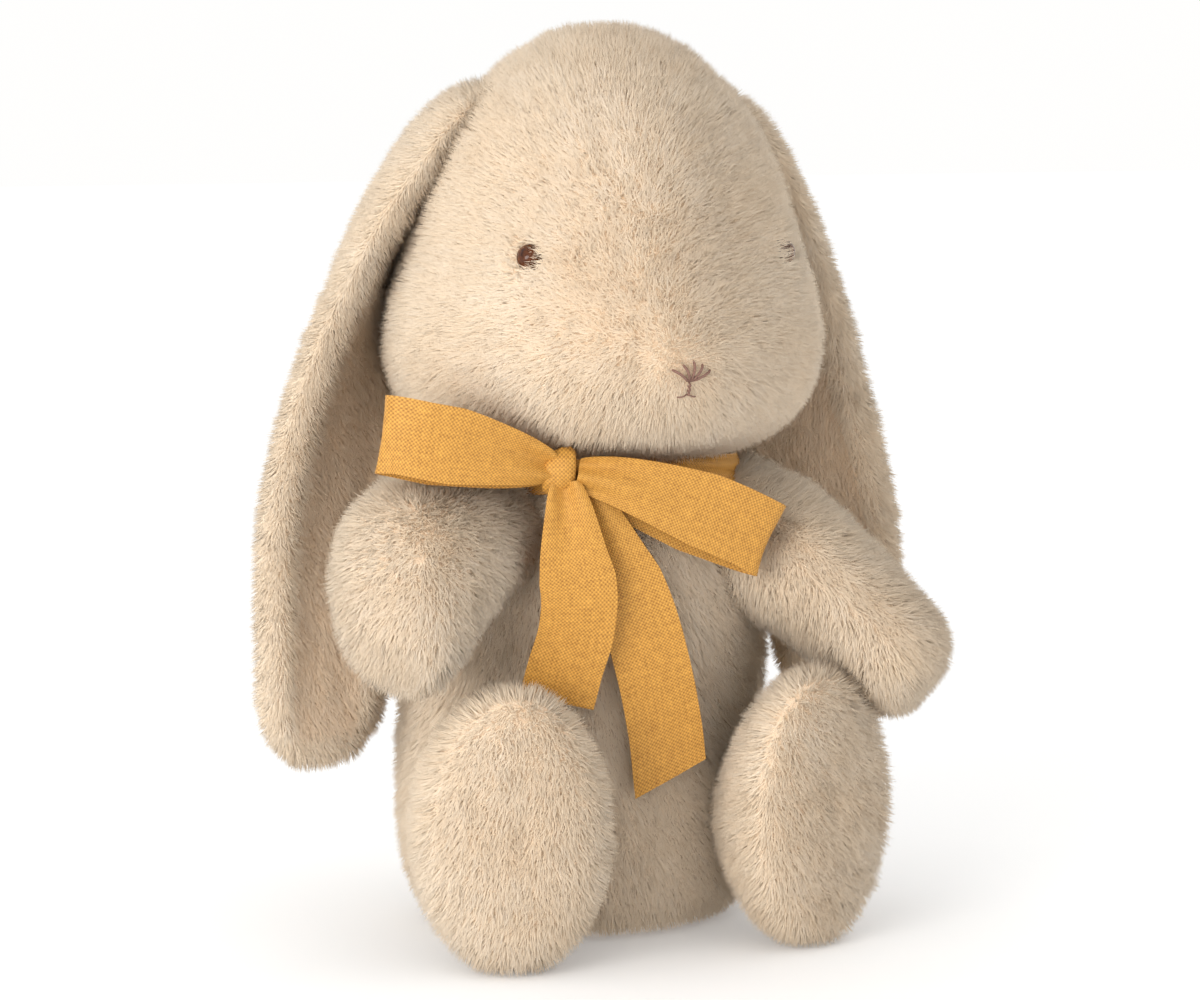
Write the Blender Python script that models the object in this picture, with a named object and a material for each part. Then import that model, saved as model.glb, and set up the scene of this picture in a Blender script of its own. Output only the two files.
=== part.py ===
"""A seated plush rabbit with lop ears and a ribbon bow, one object for each sewn panel, mass of stuffing or trim.

Metres, +Z up. The rabbit faces -Y and its own right side is at -X. The lengths below are in millimetres and are
turned into metres where the meshes are made.
"""

import math

import bpy
import numpy as np

# ---- driving dimensions, millimetres ----
PLUSH = 2.0          # thickness of a fur panel with its backing
GAP = 0.3            # clearance between neighbouring pieces
SHIFT_Y = -6.94      # brings the middle of the outline over the origin

NECK = (0.0, 6.0, 122.0)      # centre of the ball that the head sits on
NECK_R = 44.0
NECK_TOP = 154.0              # the torso ends here, the neck's own fill carries on
HEAD_Y = -2.0
HEAD_MID_Z = 200.0
# height, half width
HEAD_PROFILE = [(146.0, 0.0), (146.8, 34.0), (149.5, 45.0), (154.0, 54.0), (162.0, 60.5), (176.0, 64.0),
                (190.0, 62.0), (204.0, 57.0), (226.0, 51.0), (244.0, 43.5), (258.0, 33.0), (266.0, 22.0),
                (269.6, 12.0), (270.5, 0.0)]
GUSSET_PHI = 17.0             # half angle of the head's centre panel
EYE_AT = (38.8, -43.8, 204.6)
EYE_R = 4.0
NOSE_Z = 171.4

# height, half width, half depth, centre y
TORSO_PROFILE = [(0.0, 36.0, 31.0, 15.0), (3.0, 44.0, 37.0, 15.5), (10.0, 51.0, 42.0, 16.0), (24.0, 54.5, 44.5, 16.0),
                 (45.0, 55.0, 45.0, 16.0), (65.0, 53.0, 44.0, 15.0), (85.0, 49.5, 43.0, 12.0), (102.0, 46.0, 43.0, 8.5)]
SEAT_SPLIT = 24.0             # the pellet bag fills the seat up to here

SHOULDER = (42.0, -12.0, 115.5)
SHOULDER_R = 16.5
ARM_RIGHT_TIP = (-90.0, -48.0, 91.0)
ARM_LEFT_TIP = (84.0, -50.0, 84.0)
# share of the length, half width, half thickness
ARM_PROFILE = [(0.12, 15.8, 15.2), (0.3, 18.5, 15.4), (0.5, 23.0, 16.0), (0.7, 24.0, 16.0), (0.86, 20.5, 14.0),
               (0.95, 14.0, 9.5), (0.99, 7.0, 5.0)]

HIP = (42.0, -8.0, 34.0)
HIP_R = 18.0
FOOT = (48.0, -57.0, 43.0)    # middle of the sole
TOE_OUT = 18.0
# share of the way, half width, half height, drop of the centre
LEG_PROFILE = [(0.12, 17.2, 17.2), (0.22, 16.2, 17.0), (0.34, 18.0, 20.0), (0.5, 22.5, 28.0), (0.68, 26.0, 36.5),
               (0.84, 27.0, 39.5), (0.95, 25.5, 38.5), (1.0, 22.5, 35.5)]

EAR_ROOT = (50.0, 12.0, 241.0)
# spine point x, y, z, half width, half thickness, turn of the width from the side-to-side line
EAR_SPINE = [(50.5, 9.0, 242.0, 9.5, 4.2, 76.0), (55.0, 11.5, 234.0, 14.5, 5.2, 73.0), (60.0, 16.0, 222.0, 17.5, 5.8, 67.0),
             (65.5, 21.0, 206.0, 20.0, 6.0, 60.0), (69.5, 24.0, 188.0, 22.0, 6.0, 50.0), (72.5, 24.5, 170.0, 23.5, 6.0, 40.0),
             (76.0, 22.0, 146.0, 24.5, 6.0, 26.0), (79.5, 16.5, 121.0, 23.5, 6.0, 15.0), (82.0, 13.0, 104.0, 22.0, 6.0, 10.0),
             (83.5, 11.0, 90.0, 20.5, 6.0, 8.0), (85.0, 10.0, 78.0, 19.0, 5.7, 7.0), (86.0, 9.5, 67.0, 17.0, 5.2, 7.0),
             (86.5, 9.2, 58.0, 12.5, 4.6, 7.0), (86.0, 9.0, 53.0, 7.5, 3.5, 7.0)]

TAIL = (0.0, 66.0, 36.0)
TAIL_R = 15.0

RIBBON_T = 0.9                # a sewn ribbon's body, thicker than the cloth so that it is a solid
RIBBON_W = 22.0


# ---- shape helpers ----
def smooth(rows, steps):
    """Points on a Catmull-Rom curve through the rows, with this many steps between neighbours."""
    rows = np.array(rows, float)
    ends = np.vstack([2 * rows[0] - rows[1], rows, 2 * rows[-1] - rows[-2]])
    out = []
    for i in range(1, len(ends) - 2):
        a, b, c, d = ends[i - 1:i + 3]
        for k in range(steps):
            t = k / steps
            out.append(0.5 * (2 * b + (c - a) * t + (2 * a - 5 * b + 4 * c - d) * t * t + (3 * b - a - 3 * c + d) * t ** 3))
    out.append(rows[-1])
    return np.array(out)


def unit(v):
    v = np.array(v, float)
    return v / np.linalg.norm(v)


def rings(centres, u, v, a, b, angles):
    """One ring of points for each centre; u and v are its width and height directions."""
    c, s = np.cos(angles)[None, :, None], np.sin(angles)[None, :, None]
    return centres[:, None] + c * (u * a[:, None])[:, None] + s * (v * b[:, None])[:, None]


def grid_normals(grid, wrap):
    """Outward directions of a grid whose columns run anticlockwise seen from its last row's end."""
    along = np.gradient(grid, axis=0)
    if wrap:
        across = np.roll(grid, -1, axis=1) - np.roll(grid, 1, axis=1)
    else:
        across = np.gradient(grid, axis=1)
    n = np.cross(across, along)
    return n / np.maximum(np.linalg.norm(n, axis=2, keepdims=True), 1e-9)


def closed_loft(grid):
    """A solid from rings, with a flat or pointed end at each side."""
    m, n = grid.shape[:2]
    verts = list(grid.reshape(-1, 3)) + [grid[0].mean(axis=0), grid[-1].mean(axis=0)]
    faces = []
    for i in range(m - 1):
        for j in range(n):
            k = (j + 1) % n
            faces.append((i * n + j, i * n + k, (i + 1) * n + k, (i + 1) * n + j))
    for j in range(n):
        k = (j + 1) % n
        faces.append((k, j, m * n))
        faces.append(((m - 1) * n + j, (m - 1) * n + k, m * n + 1))
    return verts, faces


def thick_sheet(outer, inner, wrap):
    """A panel with thickness: two facing grids and the strips that join their edges."""
    m, n = outer.shape[:2]
    verts = list(outer.reshape(-1, 3)) + list(inner.reshape(-1, 3))
    o = m * n
    faces = []
    for i in range(m - 1):
        for j in range(n if wrap else n - 1):
            k = (j + 1) % n
            faces.append((i * n + j, i * n + k, (i + 1) * n + k, (i + 1) * n + j))
            faces.append((o + i * n + k, o + i * n + j, o + (i + 1) * n + j, o + (i + 1) * n + k))
    for j in range(n if wrap else n - 1):
        k = (j + 1) % n
        faces.append((k, j, o + j, o + k))
        e = (m - 1) * n
        faces.append((e + j, e + k, o + e + k, o + e + j))
    if not wrap:
        for i in range(m - 1):
            faces.append((i * n, (i + 1) * n, o + (i + 1) * n, o + i * n))
            faces.append(((i + 1) * n + n - 1, i * n + n - 1, o + i * n + n - 1, o + (i + 1) * n + n - 1))
    return verts, faces


# ---- scene helpers ----
for old in list(bpy.data.objects):
    bpy.data.objects.remove(old, do_unlink=True)

MATERIALS = {}


def material(name, colour, roughness, metallic=0.0):
    if name not in MATERIALS:
        made = bpy.data.materials.new(name)
        made.use_nodes = True
        shader = made.node_tree.nodes["Principled BSDF"]
        shader.inputs["Base Color"].default_value = (*colour, 1.0)
        shader.inputs["Roughness"].default_value = roughness
        shader.inputs["Metallic"].default_value = metallic
        made.diffuse_color = (*colour, 1.0)
        MATERIALS[name] = made
    return MATERIALS[name]


FUR = ("cream_fur", (0.80, 0.66, 0.50), 0.95)
LINING = ("peach_lining", (0.74, 0.53, 0.36), 0.95)
SOLE = ("sole_fur", (0.82, 0.69, 0.53), 0.95)
FILL = ("stuffing", (0.90, 0.89, 0.86), 1.0)
PELLETS = ("pellet_bag_cloth", (0.78, 0.77, 0.72), 0.9)
EYE = ("eye_plastic", (0.03, 0.010, 0.005), 0.12)
WASHER = ("washer_plastic", (0.75, 0.75, 0.73), 0.5)
THREAD = ("embroidery_thread", (0.22, 0.12, 0.09), 0.6)
RIBBON = ("mustard_ribbon", (0.78, 0.40, 0.06), 0.6)


def pivot(name, at, parent=None):
    made = bpy.data.objects.new(name, None)
    bpy.context.scene.collection.objects.link(made)
    base = np.array(parent["at_mm"]) if parent else np.zeros(3)
    made["at_mm"] = [float(v) for v in at]
    made.location = [float(v) / 1000 for v in np.array(at) - base]
    made.parent = parent
    return made


def piece(name, shape, look, parent, cutters=(), hide=False):
    """An object from a shape in the rabbit's own millimetres, held by its pivot, with the cutters taken out of it."""
    verts, faces = shape
    base = np.array(parent["at_mm"])
    mesh = bpy.data.meshes.new(name)
    mesh.from_pydata([tuple((np.array(v) - base) / 1000) for v in verts], [], [tuple(int(i) for i in f) for f in faces])
    mesh.validate()
    mesh.shade_smooth()
    mesh.set_sharp_from_angle(angle=math.radians(50))
    made = bpy.data.objects.new(name, mesh)
    bpy.context.scene.collection.objects.link(made)
    made.parent = parent
    if look:
        mesh.materials.append(material(*look))
    if hide:
        made.hide_render = True
        made.display_type = "WIRE"
    for cutter in cutters:
        cut = made.modifiers.new("cut_" + cutter.name, "BOOLEAN")
        cut.operation = "DIFFERENCE"
        cut.solver = "EXACT"
        cut.object = cutter
    return made


def ball(centre, radius, parent, name, segments=20, rows=12):
    t = np.linspace(0, 2 * math.pi, segments, endpoint=False)
    phi = np.linspace(-math.pi / 2, math.pi / 2, rows + 1)[1:-1]
    grid = np.array([[(math.cos(p) * math.cos(a), math.cos(p) * math.sin(a), math.sin(p)) for a in t] for p in phi]) * radius + np.array(centre)
    verts, faces = closed_loft(grid)
    verts[-2] = np.array(centre) - (0, 0, radius)
    verts[-1] = np.array(centre) + (0, 0, radius)
    return piece(name, (verts, faces), None, parent, hide=True)


def post(at, direction, radius, low, high, parent, name, sides=16):
    """A round cutter along a direction, from low to high."""
    return piece(name, round_bar(at, direction, [(low, radius), (high, radius)], sides), None, parent, hide=True)


def round_bar(at, direction, steps, sides=16):
    d = unit(direction)
    u = unit(np.cross(d, (0, 0, 1)))
    v = np.cross(d, u)
    t = np.linspace(0, 2 * math.pi, sides, endpoint=False)
    grid = np.array([[np.array(at) + d * h + r * (math.cos(a) * u + math.sin(a) * v) for a in t] for h, r in steps])
    return closed_loft(grid)


# ---- pivots: the torso holds everything, each moving piece hangs from its own joint ----
torso = pivot("torso_origin", (0, 0, 0))
torso.location = (0, SHIFT_Y / 1000, 0)
neck = pivot("neck_pivot", NECK, torso)
head = pivot("head_pivot", NECK, neck)
ears = {s: pivot(f"ear_{s}_pivot", (EAR_ROOT[0] * m, EAR_ROOT[1], EAR_ROOT[2]), head) for s, m in (("right", -1), ("left", 1))}
arms = {s: pivot(f"arm_{s}_pivot", (SHOULDER[0] * m, SHOULDER[1], SHOULDER[2]), torso) for s, m in (("right", -1), ("left", 1))}
legs = {s: pivot(f"leg_{s}_pivot", (HIP[0] * m, HIP[1], HIP[2]), torso) for s, m in (("right", -1), ("left", 1))}

# ---- head: a round of revolution about a vertical line, cut into a gusset and two sides ----
profile = smooth(HEAD_PROFILE, 6)
PROFILE_Z = np.maximum.accumulate(profile[:, 0])


def head_radius(z):
    return np.where((z <= PROFILE_Z[0]) | (z >= PROFILE_Z[-1]), 0.0, np.interp(z, PROFILE_Z, profile[:, 1]))


HEAD_C = np.array([0.0, HEAD_Y, HEAD_MID_Z])


def head_hit(d):
    """Where a ray from the head's middle meets its surface."""
    low, high = np.zeros(d.shape[:-1]), np.full(d.shape[:-1], 90.0)
    for _ in range(40):
        mid = (low + high) / 2
        p = HEAD_C + d * mid[..., None]
        inside = np.hypot(p[..., 0], p[..., 1] - HEAD_Y) < head_radius(p[..., 2])
        low, high = np.where(inside, mid, low), np.where(inside, high, mid)
    return HEAD_C + d * low[..., None]


def head_grid(phis, thetas):
    """Rows run from -X to +X, columns go round the X axis."""
    p, t = np.meshgrid(np.radians(phis), np.radians(thetas), indexing="ij")
    d = np.stack([-np.cos(p), np.sin(p) * np.cos(t), np.sin(p) * np.sin(t)], axis=-1)
    return head_hit(d)


def inset(grid, depth, wrap):
    return grid - grid_normals(grid, wrap) * depth


neck_cut = ball(NECK, NECK_R + 1.0, head, "neck_cutter", 26, 16)
eye_cutters, eye_seats, eye_frames = {}, {}, {}
for s, m in (("right", -1), ("left", 1)):
    aim = unit((EYE_AT[0] * m, EYE_AT[1] - HEAD_Y, EYE_AT[2] - HEAD_MID_Z))
    at = head_hit(aim[None])[0]
    side = head_hit(unit(aim + np.array((0.02, 0, 0)))[None])[0] - head_hit(unit(aim - np.array((0.02, 0, 0)))[None])[0]
    rise = head_hit(unit(aim + np.array((0, 0, 0.02)))[None])[0] - head_hit(unit(aim - np.array((0, 0, 0.02)))[None])[0]
    normal = unit(np.cross(side, rise))
    normal = normal if normal @ aim > 0 else -normal
    eye_frames[s] = (at, normal)
    eye_cutters[s] = post(at, normal, 2.3, -8, 4, head, f"eye_hole_{s}")
    eye_seats[s] = post(at, normal, 6.8, -12, -1.0, head, f"eye_seat_{s}")

loop = np.linspace(-90, 270, 25)[:-1]
open_loop = np.linspace(-88, 268, 25)
half_phi = 90 - GUSSET_PHI
side_rows = np.concatenate([[3.0], np.linspace(14, half_phi - 0.5, 6)])
for s in ("right", "left"):
    rows = side_rows if s == "right" else (180 - side_rows)[::-1]
    outer = head_grid(rows, loop)
    piece(f"head_side_{s}", thick_sheet(outer, inset(outer, PLUSH, True), True), FUR, head, [neck_cut, eye_cutters[s]])
outer = head_grid(np.linspace(half_phi + 0.5, 180 - half_phi - 0.5, 4), open_loop)
piece("head_gusset", thick_sheet(outer, inset(outer, PLUSH, False), False), FUR, head, [neck_cut])
outer = head_grid(np.concatenate([[3.0], np.linspace(14, 166, 12), [177.0]]), loop)
piece("head_stuffing", closed_loft(inset(outer, PLUSH + 1.7, True)), FILL, head, [neck_cut, eye_seats["right"], eye_seats["left"]])

for s in ("right", "left"):
    at, normal = eye_frames[s]
    dome = [(-0.2 + EYE_R * math.sin(a), EYE_R * math.cos(a)) for a in np.radians([0, 18, 36, 54, 70, 82])]
    stem = [(-7.5, 1.2), (-7.0, 1.7), (0.3, 1.7)]
    steps = stem + [(0.3, EYE_R * 0.9)] + [(h + 0.8, r) for h, r in dome]
    piece(f"eye_{s}", round_bar(at, normal, steps), EYE, head)
    t = np.linspace(0, 2 * math.pi, 20, endpoint=False)
    d = unit(normal)
    u = unit(np.cross(d, (0, 0, 1)))
    v = np.cross(d, u)
    round_ = np.array([math.cos(a) * u + math.sin(a) * v for a in t])
    outer_r = np.array([at + d * h + r * round_ for h, r in ((-4.6, 2.1), (-4.6, 6.2), (-3.4, 6.2), (-3.4, 2.1), (-4.6, 2.1))])
    # a flat ring turned round the stem
    ring = outer_r[:4]
    verts = list(ring.reshape(-1, 3))
    faces = []
    for i in range(4):
        for j in range(20):
            a, b = i * 20 + j, i * 20 + (j + 1) % 20
            c, e = ((i + 1) % 4) * 20 + (j + 1) % 20, ((i + 1) % 4) * 20 + j
            faces.append((a, b, c, e))
    piece(f"eye_washer_{s}", (verts, faces), WASHER, head)


def on_face(x, z, out):
    """A point of the face, this far outside its surface."""
    r = float(head_radius(np.array(z)))
    slope = float(head_radius(np.array(z + 1)) - head_radius(np.array(z - 1))) / 2
    y = -math.sqrt(r * r - x * x)
    n = unit((x / r, y / r, -slope))
    return np.array((x, HEAD_Y + y, z)) + n * out


def outline_plate(points, middle, low, high):
    n = len(points)
    verts = [on_face(x, z, low) for x, z in points] + [on_face(x, z, high) for x, z in points]
    verts += [on_face(*middle, low), on_face(*middle, high)]
    faces = []
    for j in range(n):
        k = (j + 1) % n
        faces += [(k, j, 2 * n), (n + j, n + k, 2 * n + 1), (j, k, n + k, n + j)]
    return verts, faces


stitches = [(-5.2, 2.2), (-2.6, 4.2), (0.0, 4.9), (2.6, 4.2), (5.2, 2.2)]
fan = [(0.0, -1.4)]
for i, (x, z) in enumerate(stitches[::-1]):
    side = unit((z, -x))
    fan += [(x + side[0] * 0.5, z + side[1] * 0.5), (x - side[0] * 0.5, z - side[1] * 0.5)]
    if i < 4:
        nx, nz = stitches[::-1][i + 1]
        fan.append(((x + nx) * 0.16, (z + nz) * 0.16))
piece("nose_embroidery", outline_plate([(x, NOSE_Z + z) for x, z in fan], (0.0, NOSE_Z), 0.35, 1.1), THREAD, head)
mouth = [(-0.45, -2.2), (-0.45, -5.6), (-3.0, -7.4), (-2.8, -8.2), (0.0, -6.6), (2.8, -8.2), (3.0, -7.4), (0.45, -5.6), (0.45, -2.2)]
piece("mouth_embroidery", outline_plate([(x, NOSE_Z + z) for x, z in mouth], (0.0, NOSE_Z - 5.9), 0.35, 1.1), THREAD, head)

# ---- neck fill: the cap of the ball, it turns on the torso's flat top and the head nods on it ----
t = np.linspace(0, 2 * math.pi, 32, endpoint=False)
cap = []
for z in (NECK_TOP + 0.4, 158.0, 161.5, 164.0, 165.4):
    r = math.sqrt(NECK_R ** 2 - (z - NECK[2]) ** 2)
    cap.append([(r * math.cos(a), NECK[1] + r * math.sin(a), z) for a in t])
piece("neck_stuffing", closed_loft(np.array(cap)), FILL, neck)

# ---- torso ----
ball_rows = [(z, math.sqrt(NECK_R ** 2 - (z - NECK[2]) ** 2)) for z in (116.0, 124.0, 132.0, 140.0, 147.0, NECK_TOP)]
torso_rows = np.array(TORSO_PROFILE + [(z, r, r, NECK[1]) for z, r in ball_rows])


def torso_grid(rows, angles):
    centres = np.stack([np.zeros(len(rows)), rows[:, 3], rows[:, 0]], axis=1)
    return rings(centres, np.array([[1.0, 0, 0]] * len(rows)), np.array([[0, 1.0, 0]] * len(rows)), rows[:, 1], rows[:, 2], angles)


sockets = [ball((SHOULDER[0] * m, SHOULDER[1], SHOULDER[2]), SHOULDER_R + 0.7, torso, f"shoulder_cutter_{s}") for s, m in (("right", -1), ("left", 1))]
hips = [ball((HIP[0] * m, HIP[1], HIP[2]), HIP_R + 4.5, torso, f"hip_cutter_{s}") for s, m in (("right", -1), ("left", 1))]
tail_cut = ball(TAIL, TAIL_R + 0.6, torso, "tail_cutter")

for name, low, high, cutters in (("torso_back", 1.0, 179.0, [tail_cut]), ("torso_front", 181.0, 359.0, [])):
    outer = torso_grid(torso_rows, np.radians(np.linspace(low, high, 12)))
    piece(name, thick_sheet(outer, inset(outer, PLUSH, False), False), FUR, torso, sockets + hips + cutters)

round_angles = np.linspace(0, 2 * math.pi, 22, endpoint=False)
seat_in = TORSO_PROFILE[0][1] - 4.0
seat_rows = np.array([(0.0, seat_in, TORSO_PROFILE[0][2] - 4.0, TORSO_PROFILE[0][3]), (PLUSH, seat_in, TORSO_PROFILE[0][2] - 4.0, TORSO_PROFILE[0][3])])
piece("seat_panel", closed_loft(torso_grid(seat_rows, round_angles)), FUR, torso)


def inside(rows, low, high):
    """The torso's rows between two heights, drawn in far enough to fit in the skin."""
    z = np.concatenate([[low], [v for v in rows[:, 0] if low + 2 < v < high - 2], [high]])
    cols = [np.interp(z, rows[:, 0], rows[:, k]) for k in (1, 2, 3)]
    short = PLUSH + 0.9
    return np.stack([z, cols[0] - short, cols[1] - short, cols[2]], axis=1)


bag_rows = inside(torso_rows, PLUSH + 0.7, SEAT_SPLIT - GAP)
bag_rows[:2, 1:3] -= 3.0
piece("pellet_bag", closed_loft(torso_grid(bag_rows, round_angles)), PELLETS, torso, hips)
piece("torso_stuffing", closed_loft(torso_grid(inside(torso_rows, SEAT_SPLIT + GAP, NECK_TOP - 0.3), round_angles)), FILL, torso, sockets + hips + [tail_cut])

tail_rows = [(TAIL_R * math.sin(a), TAIL_R * math.cos(a)) for a in np.radians(np.linspace(-80, 80, 11))]
piece("tail", round_bar(TAIL, (0, 1, 0.15), tail_rows, 20), FUR, torso)


# ---- limbs: a ball root, then rings along the limb ----
def limb_grids(root, radius, axis, u, v, tip, profile, angles, depth):
    """The limb's rings at a depth under its surface."""
    root, tip = np.array(root, float), np.array(tip, float)
    rows = []
    for a in np.radians((170, 145, 118)):
        rows.append((root + axis * radius * math.cos(a), radius * math.sin(a), radius * math.sin(a)))
    for share, a, b in profile:
        rows.append((root + (tip - root) * share, a, b))
    centres = np.array([r[0] for r in rows])
    a, b = np.array([r[1] for r in rows]), np.array([r[2] for r in rows])
    grid = rings(centres, np.array([u] * len(rows)), np.array([v] * len(rows)), a, b, angles)
    if depth:
        small_a, small_b = np.maximum(a - depth, a * 0.25), np.maximum(b - depth, b * 0.25)
        moved = centres.copy()
        moved[0] += axis * min(depth, radius * 0.3)
        moved[1] += axis * depth * 0.7
        moved[-1] -= axis * depth
        moved[-2] -= axis * depth * 0.7
        grid = rings(moved, np.array([u] * len(rows)), np.array([v] * len(rows)), small_a, small_b, angles)
    return grid


for s, m, tip, wide in (("right", -1, ARM_RIGHT_TIP, (0.78, -0.38, -0.50)), ("left", 1, ARM_LEFT_TIP, (-0.35, -0.88, 0.30))):
    root = (SHOULDER[0] * m, SHOULDER[1], SHOULDER[2])
    axis = unit(np.array(tip) - np.array(root))
    u = np.array(wide) - axis * (np.array(wide) @ axis)
    u = unit(u)
    v = np.cross(axis, u)
    for half, low, high in (("outer", 0.6, 179.4), ("inner", 180.6, 359.4)):
        turn = np.radians(np.linspace(low, high, 8))
        outer = limb_grids(root, SHOULDER_R, axis, u, v, tip, ARM_PROFILE, turn, 0)
        inner = limb_grids(root, SHOULDER_R, axis, u, v, tip, ARM_PROFILE, turn, PLUSH)
        piece(f"arm_{s}_{half}", thick_sheet(outer, inner, False), FUR, arms[s])
    turn = np.linspace(0, 2 * math.pi, 14, endpoint=False)
    piece(f"arm_{s}_stuffing", closed_loft(limb_grids(root, SHOULDER_R, axis, u, v, tip, ARM_PROFILE, turn, PLUSH + 0.6)), FILL, arms[s])

for s, m in (("right", -1), ("left", 1)):
    root = np.array((HIP[0] * m, HIP[1], HIP[2]))
    foot = np.array((FOOT[0] * m, FOOT[1], FOOT[2]))
    out = math.radians(TOE_OUT)
    normal = np.array((m * math.sin(out), -math.cos(out), 0.0))
    u = np.array((math.cos(out), m * math.sin(out), 0.0))
    v = np.cross(normal, u)
    for half, low, high in (("outer", 90.6, 269.4), ("inner", -89.4, 89.4)):
        if m > 0:
            half = "inner" if half == "outer" else "outer"
        turn = np.radians(np.linspace(low, high, 10))
        outer = limb_grids(root, HIP_R, normal, u, v, foot, LEG_PROFILE, turn, 0)
        inner = limb_grids(root, HIP_R, normal, u, v, foot, LEG_PROFILE, turn, PLUSH)
        inner[-1] = outer[-1] - (outer[-1] - foot) * (PLUSH / 24.0)
        piece(f"leg_{s}_{half}", thick_sheet(outer, inner, False), FUR, legs[s])
    turn = np.linspace(0, 2 * math.pi, 18, endpoint=False)
    fill = limb_grids(root, HIP_R, normal, u, v, foot, LEG_PROFILE, turn, PLUSH + 0.6)
    fill[-1] -= normal * 1.4
    piece(f"leg_{s}_stuffing", closed_loft(fill), FILL, legs[s])
    a, b = LEG_PROFILE[-1][1], LEG_PROFILE[-1][2]
    sole = [rings((foot + normal * h)[None], u[None], v[None], np.array([a - d]), np.array([b - d]), turn)[0] for h, d in ((-1.8, 4.0), (0.6, 4.0), (1.6, 6.0))]
    piece(f"foot_sole_{s}", closed_loft(np.array(sole)), SOLE, legs[s])

# ---- ears: two D-shaped halves that meet on the ear's flat middle ----
for s, m in (("right", -1), ("left", 1)):
    rows = smooth(EAR_SPINE, 1)
    centres = rows[:, :3] * (m, 1, 1)
    along = np.gradient(centres, axis=0)
    along /= np.linalg.norm(along, axis=1, keepdims=True)
    yaw = np.radians(rows[:, 5])
    wide = np.stack([m * np.cos(yaw), -np.sin(yaw), 0 * yaw], axis=1)
    u = wide - along * (along * wide).sum(axis=1, keepdims=True)
    u /= np.linalg.norm(u, axis=1, keepdims=True)
    v = np.cross(along, u) * -m      # towards the back and the outside
    v = v if v[len(v) // 2][1] > 0 else -v
    for part_name, sign, look in (("back", 1.0, FUR), ("lining", -1.0, LINING)):
        half = np.radians(np.linspace(0, 180, 8))
        grid = []
        for c, uu, vv, a, b in zip(centres, u, v, rows[:, 3], rows[:, 4]):
            base = c + vv * sign * 0.6
            round_side = [base + uu * a * math.cos(h) + vv * sign * (0.15 + b * math.sin(h)) for h in half]
            grid.append(round_side + [base + uu * a * t + vv * sign * 0.15 for t in (-0.6, -0.2, 0.2, 0.6)])
        grid = np.array(grid)
        test = np.cross(grid[5, 4] - grid[5, 3], grid[6, 4] - grid[5, 4]) @ (v[5] * sign)
        if test < 0:
            grid = grid[:, ::-1]
        piece(f"ear_{s}_{part_name}", closed_loft(grid), look, ears[s])


# ---- ribbon: band, knot, loops and tails ----
def strip(path, widths, directions, thick, look, name, parent):
    """A flat ribbon along a path; each point has its width and its width direction."""
    path = np.array(path, float)
    along = np.gradient(path, axis=0)
    along /= np.linalg.norm(along, axis=1, keepdims=True)
    grid = []
    for p, w, d, a in zip(path, widths, directions, along):
        d = unit(np.array(d, float) - a * (np.array(d, float) @ a))
        n = np.cross(a, d)
        grid.append([p + d * w / 2 + n * thick / 2, p - d * w / 2 + n * thick / 2, p - d * w / 2 - n * thick / 2, p + d * w / 2 - n * thick / 2])
    grid = np.array(grid)
    return piece(name, closed_loft(grid), look, parent)


band = []
for h, r in ((133.0, 43.2), (141.0, 40.3), (141.0, 41.3), (133.0, 44.2)):
    band.append([(r * math.cos(a), NECK[1] + r * math.sin(a), h) for a in np.linspace(0, 2 * math.pi, 28, endpoint=False)])
verts, faces = [p for ring in band for p in ring], []
for i in range(4):
    for j in range(28):
        faces.append((i * 28 + j, ((i + 1) % 4) * 28 + j, ((i + 1) % 4) * 28 + (j + 1) % 28, i * 28 + (j + 1) % 28))
piece("ribbon_neck_band", (verts, faces), RIBBON, torso)

KNOT = np.array((-30.0, -42.5, 140.5))
knot_rows = [(-5.2, 4.0), (-3.5, 5.8), (0.0, 6.6), (3.5, 5.8), (5.2, 4.0)]
axis = unit((0.93, -0.37, 0.0))
up = np.array((0, 0, 1.0))
side = np.cross(axis, up)
a16 = np.linspace(0, 2 * math.pi, 16, endpoint=False)
grid = np.array([[KNOT + axis * h + up * r * math.cos(a) + side * r * 0.62 * math.sin(a) for a in a16] for h, r in knot_rows])
if np.cross(grid[2, 1] - grid[2, 0], grid[3, 0] - grid[2, 0]) @ (grid[2, 0] - KNOT) < 0:
    grid = grid[:, ::-1]
piece("ribbon_knot", closed_loft(grid), RIBBON, torso)


def loop_shape(start, end, height, height_end, depth, sag):
    """A flattened loop of ribbon as one closed outline: thin at the knot, open at its far end."""
    start, end = np.array(start, float), np.array(end, float)
    along = end - start
    side_ = unit(np.cross(along, (0, 0, 1)))
    rise = np.cross(side_, unit(along))
    grid = []
    for k in np.linspace(0, 1, 9):
        c = start + along * k + np.array((0, 0, sag * math.sin(math.pi * k)))
        h = height + (height_end - height) * min(1.0, k * 1.6)
        d = depth * (0.35 + 0.65 * math.sin(math.pi * min(1.0, k + 0.15) * 0.75))
        grid.append([c + rise * h / 2 * math.cos(a) + side_ * d / 2 * math.sin(a) for a in a16])
    grid = np.array(grid)
    if np.cross(grid[4, 1] - grid[4, 0], grid[5, 0] - grid[4, 0]) @ (grid[4, 0] - (start + along * 0.5)) < 0:
        grid = grid[:, ::-1]
    return closed_loft(grid)


piece("ribbon_loop_right", loop_shape((-36.5, -42.5, 141.5), (-80.5, -42.0, 154.5), 8.0, RIBBON_W, 9.0, 0.5), RIBBON, torso)
piece("ribbon_loop_left", loop_shape((-23.5, -46.5, 140.0), (30.0, -50.0, 121.5), 9.0, RIBBON_W, 8.0, 2.0), RIBBON, torso)

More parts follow.
